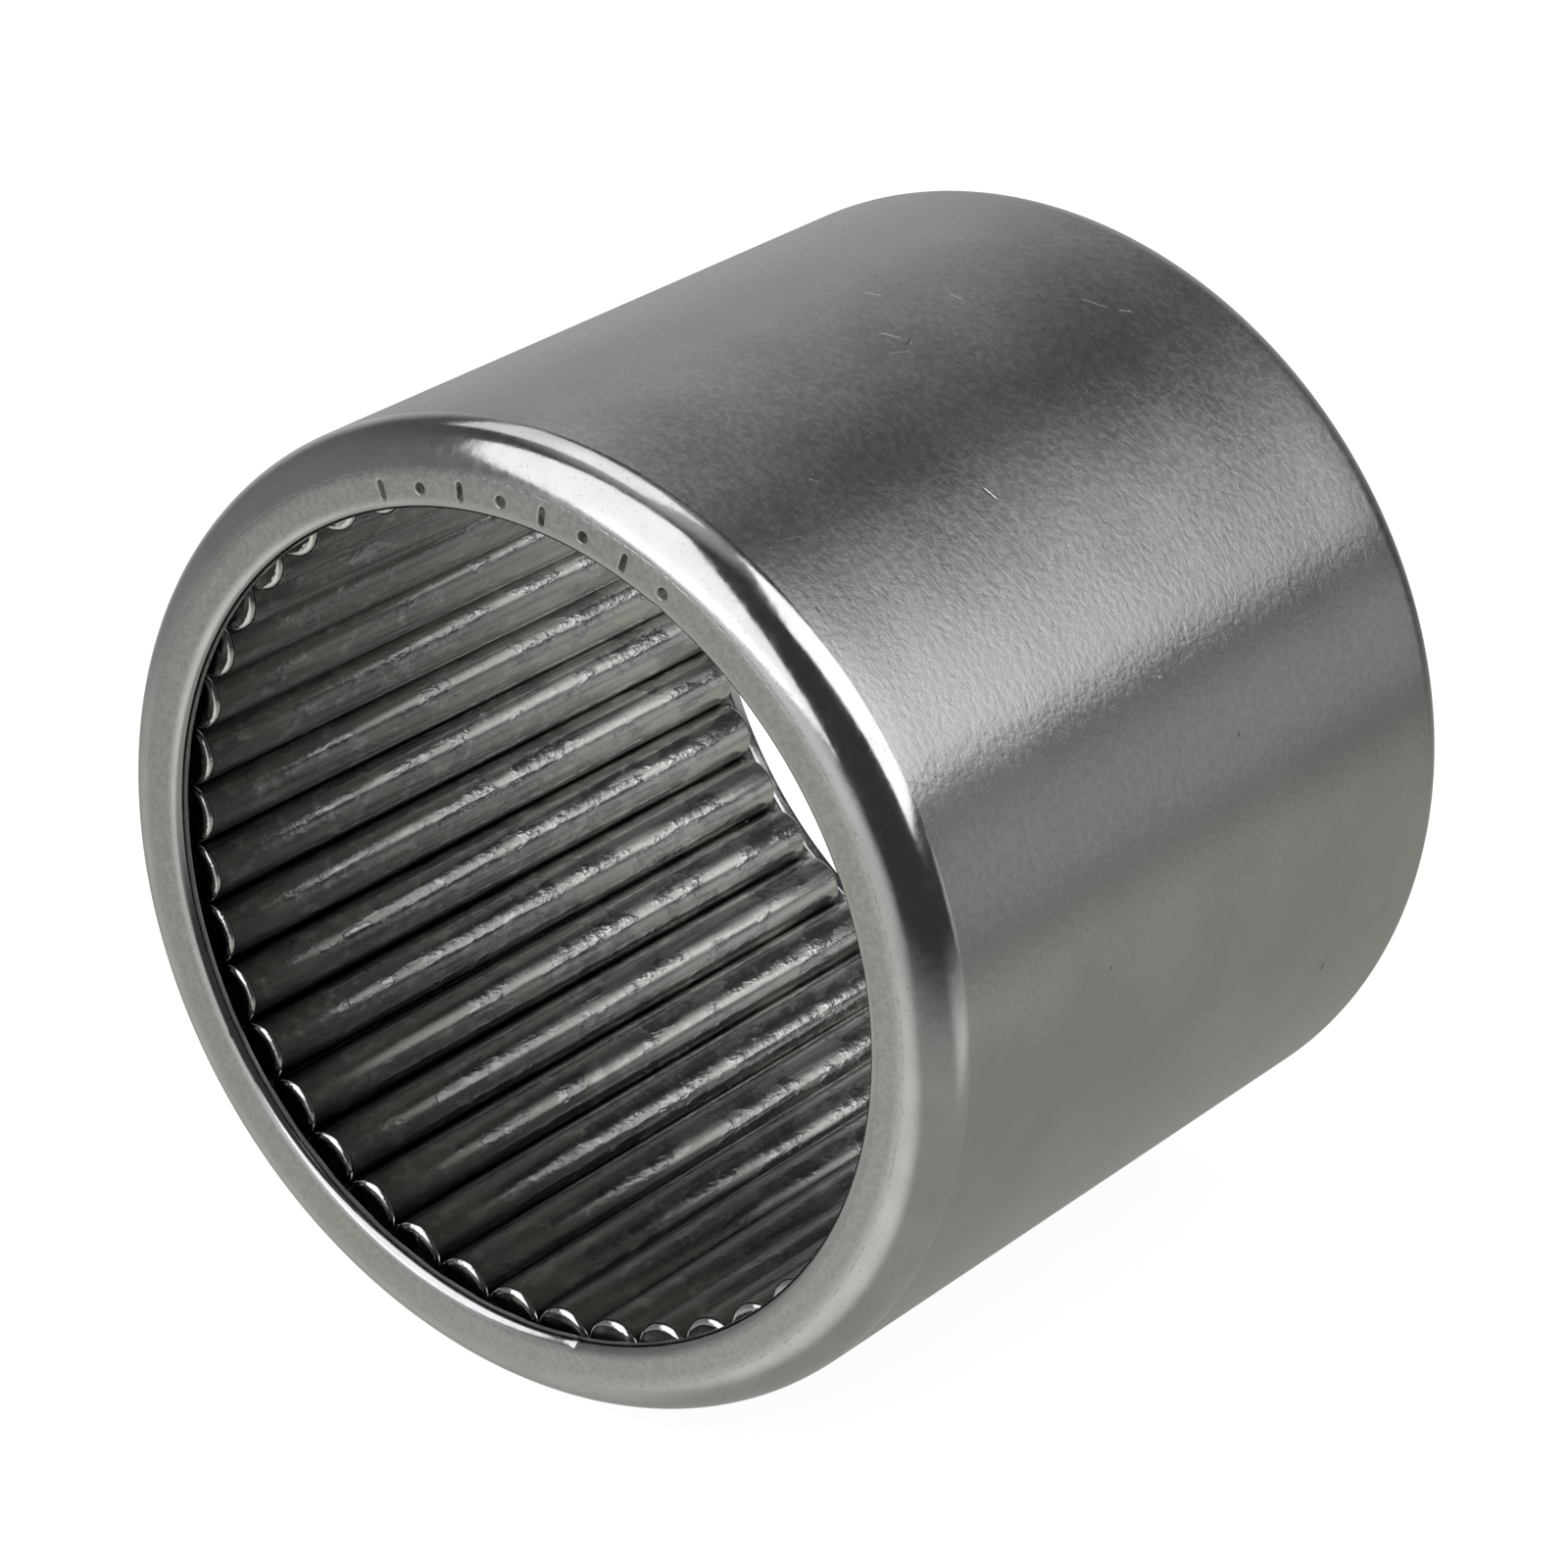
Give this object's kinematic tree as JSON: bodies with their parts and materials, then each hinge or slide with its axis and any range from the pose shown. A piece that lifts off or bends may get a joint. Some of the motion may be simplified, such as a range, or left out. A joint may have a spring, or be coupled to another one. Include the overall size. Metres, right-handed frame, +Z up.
{
  "type": "needle roller bearing",
  "caption": "Full-complement drawn-cup needle roller bearing: thin steel cup with a turned-in lip at each end, lined with needle rollers side by side, open through the middle.",
  "frame": {"origin": "centre of the bearing: on its axis, half-way between the two end faces", "axes": "+Y along the bearing's axis, from the marked end face at -Y to the plain end face at +Y; +Z up with the bearing on its side; +X to the right seen from the marked face"},
  "size_m": [0.039, 0.034, 0.039],
  "materials": {
    "cup_steel": "satin ground wall with polished lips",
    "roller_steel": "ground and lightly oiled"
  },
  "bodies": {
    "outer_cup": {"drawn_cup": "cup_steel"},
    "roller_01": {"needle_roller_01": "roller_steel"},
    "roller_02": {"needle_roller_02": "roller_steel"},
    "roller_03": {"needle_roller_03": "roller_steel"},
    "roller_04": {"needle_roller_04": "roller_steel"},
    "roller_05": {"needle_roller_05": "roller_steel"},
    "roller_06": {"needle_roller_06": "roller_steel"},
    "roller_07": {"needle_roller_07": "roller_steel"},
    "roller_08": {"needle_roller_08": "roller_steel"},
    "roller_09": {"needle_roller_09": "roller_steel"},
    "roller_10": {"needle_roller_10": "roller_steel"},
    "roller_11": {"needle_roller_11": "roller_steel"},
    "roller_12": {"needle_roller_12": "roller_steel"},
    "roller_13": {"needle_roller_13": "roller_steel"},
    "roller_14": {"needle_roller_14": "roller_steel"},
    "roller_15": {"needle_roller_15": "roller_steel"},
    "roller_16": {"needle_roller_16": "roller_steel"},
    "roller_17": {"needle_roller_17": "roller_steel"},
    "roller_18": {"needle_roller_18": "roller_steel"},
    "roller_19": {"needle_roller_19": "roller_steel"},
    "roller_20": {"needle_roller_20": "roller_steel"},
    "roller_21": {"needle_roller_21": "roller_steel"},
    "roller_22": {"needle_roller_22": "roller_steel"},
    "roller_23": {"needle_roller_23": "roller_steel"},
    "roller_24": {"needle_roller_24": "roller_steel"},
    "roller_25": {"needle_roller_25": "roller_steel"},
    "roller_26": {"needle_roller_26": "roller_steel"},
    "roller_27": {"needle_roller_27": "roller_steel"},
    "roller_28": {"needle_roller_28": "roller_steel"},
    "roller_29": {"needle_roller_29": "roller_steel"},
    "roller_30": {"needle_roller_30": "roller_steel"},
    "roller_31": {"needle_roller_31": "roller_steel"},
    "roller_32": {"needle_roller_32": "roller_steel"},
    "roller_33": {"needle_roller_33": "roller_steel"},
    "roller_34": {"needle_roller_34": "roller_steel"},
    "roller_35": {"needle_roller_35": "roller_steel"},
    "roller_36": {"needle_roller_36": "roller_steel"},
    "roller_37": {"needle_roller_37": "roller_steel"},
    "roller_38": {"needle_roller_38": "roller_steel"},
    "roller_39": {"needle_roller_39": "roller_steel"},
    "roller_40": {"needle_roller_40": "roller_steel"},
    "roller_41": {"needle_roller_41": "roller_steel"},
    "roller_42": {"needle_roller_42": "roller_steel"},
    "roller_43": {"needle_roller_43": "roller_steel"}
  },
  "joints": [
    {"name": "roller_set_orbit", "type": "hinge", "parent": "outer_cup", "child": "roller_01", "pos_m": [0, 0, 0], "axis": [0, 1, 0], "continuous": true},
    {"name": "roller_02_spin", "type": "hinge", "parent": "roller_01", "child": "roller_02", "pos_m": [0.00272, 0.0002, 0.01703], "axis": [0, 1, 0], "continuous": true},
    {"name": "roller_03_spin", "type": "hinge", "parent": "roller_01", "child": "roller_03", "pos_m": [0.00517, 0.0002, 0.01646], "axis": [0, 1, 0], "continuous": true},
    {"name": "roller_04_spin", "type": "hinge", "parent": "roller_01", "child": "roller_04", "pos_m": [0.00751, 0.0002, 0.01553], "axis": [0, 1, 0], "continuous": true},
    {"name": "roller_05_spin", "type": "hinge", "parent": "roller_01", "child": "roller_05", "pos_m": [0.00969, 0.0002, 0.01427], "axis": [0, 1, 0], "continuous": true},
    {"name": "roller_06_spin", "type": "hinge", "parent": "roller_01", "child": "roller_06", "pos_m": [0.01167, 0.0002, 0.01271], "axis": [0, 1, 0], "continuous": true},
    {"name": "roller_07_spin", "type": "hinge", "parent": "roller_01", "child": "roller_07", "pos_m": [0.01339, 0.0002, 0.01087], "axis": [0, 1, 0], "continuous": true},
    {"name": "roller_08_spin", "type": "hinge", "parent": "roller_01", "child": "roller_08", "pos_m": [0.01483, 0.0002, 0.00881], "axis": [0, 1, 0], "continuous": true},
    {"name": "roller_09_spin", "type": "hinge", "parent": "roller_01", "child": "roller_09", "pos_m": [0.01596, 0.0002, 0.00655], "axis": [0, 1, 0], "continuous": true},
    {"name": "roller_10_spin", "type": "hinge", "parent": "roller_01", "child": "roller_10", "pos_m": [0.01674, 0.0002, 0.00416], "axis": [0, 1, 0], "continuous": true},
    {"name": "roller_11_spin", "type": "hinge", "parent": "roller_01", "child": "roller_11", "pos_m": [0.01717, 0.0002, 0.00168], "axis": [0, 1, 0], "continuous": true},
    {"name": "roller_12_spin", "type": "hinge", "parent": "roller_01", "child": "roller_12", "pos_m": [0.01723, 0.0002, -0.00084], "axis": [0, 1, 0], "continuous": true},
    {"name": "roller_13_spin", "type": "hinge", "parent": "roller_01", "child": "roller_13", "pos_m": [0.01692, 0.0002, -0.00334], "axis": [0, 1, 0], "continuous": true},
    {"name": "roller_14_spin", "type": "hinge", "parent": "roller_01", "child": "roller_14", "pos_m": [0.01626, 0.0002, -0.00577], "axis": [0, 1, 0], "continuous": true},
    {"name": "roller_15_spin", "type": "hinge", "parent": "roller_01", "child": "roller_15", "pos_m": [0.01524, 0.0002, -0.00807], "axis": [0, 1, 0], "continuous": true},
    {"name": "roller_16_spin", "type": "hinge", "parent": "roller_01", "child": "roller_16", "pos_m": [0.01391, 0.0002, -0.01021], "axis": [0, 1, 0], "continuous": true},
    {"name": "roller_17_spin", "type": "hinge", "parent": "roller_01", "child": "roller_17", "pos_m": [0.01227, 0.0002, -0.01212], "axis": [0, 1, 0], "continuous": true},
    {"name": "roller_18_spin", "type": "hinge", "parent": "roller_01", "child": "roller_18", "pos_m": [0.01038, 0.0002, -0.01378], "axis": [0, 1, 0], "continuous": true},
    {"name": "roller_19_spin", "type": "hinge", "parent": "roller_01", "child": "roller_19", "pos_m": [0.00826, 0.0002, -0.01514], "axis": [0, 1, 0], "continuous": true},
    {"name": "roller_20_spin", "type": "hinge", "parent": "roller_01", "child": "roller_20", "pos_m": [0.00596, 0.0002, -0.01619], "axis": [0, 1, 0], "continuous": true},
    {"name": "roller_21_spin", "type": "hinge", "parent": "roller_01", "child": "roller_21", "pos_m": [0.00354, 0.0002, -0.01688], "axis": [0, 1, 0], "continuous": true},
    {"name": "roller_22_spin", "type": "hinge", "parent": "roller_01", "child": "roller_22", "pos_m": [0.00105, 0.0002, -0.01722], "axis": [0, 1, 0], "continuous": true},
    {"name": "roller_23_spin", "type": "hinge", "parent": "roller_01", "child": "roller_23", "pos_m": [-0.00147, 0.0002, -0.01719], "axis": [0, 1, 0], "continuous": true},
    {"name": "roller_24_spin", "type": "hinge", "parent": "roller_01", "child": "roller_24", "pos_m": [-0.00396, 0.0002, -0.01679], "axis": [0, 1, 0], "continuous": true},
    {"name": "roller_25_spin", "type": "hinge", "parent": "roller_01", "child": "roller_25", "pos_m": [-0.00636, 0.0002, -0.01604], "axis": [0, 1, 0], "continuous": true},
    {"name": "roller_26_spin", "type": "hinge", "parent": "roller_01", "child": "roller_26", "pos_m": [-0.00863, 0.0002, -0.01494], "axis": [0, 1, 0], "continuous": true},
    {"name": "roller_27_spin", "type": "hinge", "parent": "roller_01", "child": "roller_27", "pos_m": [-0.01071, 0.0002, -0.01352], "axis": [0, 1, 0], "continuous": true},
    {"name": "roller_28_spin", "type": "hinge", "parent": "roller_01", "child": "roller_28", "pos_m": [-0.01256, 0.0002, -0.01182], "axis": [0, 1, 0], "continuous": true},
    {"name": "roller_29_spin", "type": "hinge", "parent": "roller_01", "child": "roller_29", "pos_m": [-0.01415, 0.0002, -0.00986], "axis": [0, 1, 0], "continuous": true},
    {"name": "roller_30_spin", "type": "hinge", "parent": "roller_01", "child": "roller_30", "pos_m": [-0.01544, 0.0002, -0.0077], "axis": [0, 1, 0], "continuous": true},
    {"name": "roller_31_spin", "type": "hinge", "parent": "roller_01", "child": "roller_31", "pos_m": [-0.01639, 0.0002, -0.00537], "axis": [0, 1, 0], "continuous": true},
    {"name": "roller_32_spin", "type": "hinge", "parent": "roller_01", "child": "roller_32", "pos_m": [-0.017, 0.0002, -0.00293], "axis": [0, 1, 0], "continuous": true},
    {"name": "roller_33_spin", "type": "hinge", "parent": "roller_01", "child": "roller_33", "pos_m": [-0.01724, 0.0002, -0.00042], "axis": [0, 1, 0], "continuous": true},
    {"name": "roller_34_spin", "type": "hinge", "parent": "roller_01", "child": "roller_34", "pos_m": [-0.01712, 0.0002, 0.0021], "axis": [0, 1, 0], "continuous": true},
    {"name": "roller_35_spin", "type": "hinge", "parent": "roller_01", "child": "roller_35", "pos_m": [-0.01663, 0.0002, 0.00457], "axis": [0, 1, 0], "continuous": true},
    {"name": "roller_36_spin", "type": "hinge", "parent": "roller_01", "child": "roller_36", "pos_m": [-0.01579, 0.0002, 0.00694], "axis": [0, 1, 0], "continuous": true},
    {"name": "roller_37_spin", "type": "hinge", "parent": "roller_01", "child": "roller_37", "pos_m": [-0.01461, 0.0002, 0.00917], "axis": [0, 1, 0], "continuous": true},
    {"name": "roller_38_spin", "type": "hinge", "parent": "roller_01", "child": "roller_38", "pos_m": [-0.01312, 0.0002, 0.0112], "axis": [0, 1, 0], "continuous": true},
    {"name": "roller_39_spin", "type": "hinge", "parent": "roller_01", "child": "roller_39", "pos_m": [-0.01135, 0.0002, 0.01299], "axis": [0, 1, 0], "continuous": true},
    {"name": "roller_40_spin", "type": "hinge", "parent": "roller_01", "child": "roller_40", "pos_m": [-0.00934, 0.0002, 0.0145], "axis": [0, 1, 0], "continuous": true},
    {"name": "roller_41_spin", "type": "hinge", "parent": "roller_01", "child": "roller_41", "pos_m": [-0.00713, 0.0002, 0.01571], "axis": [0, 1, 0], "continuous": true},
    {"name": "roller_42_spin", "type": "hinge", "parent": "roller_01", "child": "roller_42", "pos_m": [-0.00477, 0.0002, 0.01658], "axis": [0, 1, 0], "continuous": true},
    {"name": "roller_43_spin", "type": "hinge", "parent": "roller_01", "child": "roller_43", "pos_m": [-0.0023, 0.0002, 0.0171], "axis": [0, 1, 0], "continuous": true}
  ],
  "couplings": [
    {"joint": "roller_02_spin", "follows": "roller_set_orbit", "ratio": -14.8},
    {"joint": "roller_03_spin", "follows": "roller_set_orbit", "ratio": -14.8},
    {"joint": "roller_04_spin", "follows": "roller_set_orbit", "ratio": -14.8},
    {"joint": "roller_05_spin", "follows": "roller_set_orbit", "ratio": -14.8},
    {"joint": "roller_06_spin", "follows": "roller_set_orbit", "ratio": -14.8},
    {"joint": "roller_07_spin", "follows": "roller_set_orbit", "ratio": -14.8},
    {"joint": "roller_08_spin", "follows": "roller_set_orbit", "ratio": -14.8},
    {"joint": "roller_09_spin", "follows": "roller_set_orbit", "ratio": -14.8},
    {"joint": "roller_10_spin", "follows": "roller_set_orbit", "ratio": -14.8},
    {"joint": "roller_11_spin", "follows": "roller_set_orbit", "ratio": -14.8},
    {"joint": "roller_12_spin", "follows": "roller_set_orbit", "ratio": -14.8},
    {"joint": "roller_13_spin", "follows": "roller_set_orbit", "ratio": -14.8},
    {"joint": "roller_14_spin", "follows": "roller_set_orbit", "ratio": -14.8},
    {"joint": "roller_15_spin", "follows": "roller_set_orbit", "ratio": -14.8},
    {"joint": "roller_16_spin", "follows": "roller_set_orbit", "ratio": -14.8},
    {"joint": "roller_17_spin", "follows": "roller_set_orbit", "ratio": -14.8},
    {"joint": "roller_18_spin", "follows": "roller_set_orbit", "ratio": -14.8},
    {"joint": "roller_19_spin", "follows": "roller_set_orbit", "ratio": -14.8},
    {"joint": "roller_20_spin", "follows": "roller_set_orbit", "ratio": -14.8},
    {"joint": "roller_21_spin", "follows": "roller_set_orbit", "ratio": -14.8},
    {"joint": "roller_22_spin", "follows": "roller_set_orbit", "ratio": -14.8},
    {"joint": "roller_23_spin", "follows": "roller_set_orbit", "ratio": -14.8},
    {"joint": "roller_24_spin", "follows": "roller_set_orbit", "ratio": -14.8},
    {"joint": "roller_25_spin", "follows": "roller_set_orbit", "ratio": -14.8},
    {"joint": "roller_26_spin", "follows": "roller_set_orbit", "ratio": -14.8},
    {"joint": "roller_27_spin", "follows": "roller_set_orbit", "ratio": -14.8},
    {"joint": "roller_28_spin", "follows": "roller_set_orbit", "ratio": -14.8},
    {"joint": "roller_29_spin", "follows": "roller_set_orbit", "ratio": -14.8},
    {"joint": "roller_30_spin", "follows": "roller_set_orbit", "ratio": -14.8},
    {"joint": "roller_31_spin", "follows": "roller_set_orbit", "ratio": -14.8},
    {"joint": "roller_32_spin", "follows": "roller_set_orbit", "ratio": -14.8},
    {"joint": "roller_33_spin", "follows": "roller_set_orbit", "ratio": -14.8},
    {"joint": "roller_34_spin", "follows": "roller_set_orbit", "ratio": -14.8},
    {"joint": "roller_35_spin", "follows": "roller_set_orbit", "ratio": -14.8},
    {"joint": "roller_36_spin", "follows": "roller_set_orbit", "ratio": -14.8},
    {"joint": "roller_37_spin", "follows": "roller_set_orbit", "ratio": -14.8},
    {"joint": "roller_38_spin", "follows": "roller_set_orbit", "ratio": -14.8},
    {"joint": "roller_39_spin", "follows": "roller_set_orbit", "ratio": -14.8},
    {"joint": "roller_40_spin", "follows": "roller_set_orbit", "ratio": -14.8},
    {"joint": "roller_41_spin", "follows": "roller_set_orbit", "ratio": -14.8},
    {"joint": "roller_42_spin", "follows": "roller_set_orbit", "ratio": -14.8},
    {"joint": "roller_43_spin", "follows": "roller_set_orbit", "ratio": -14.8}
  ]
}
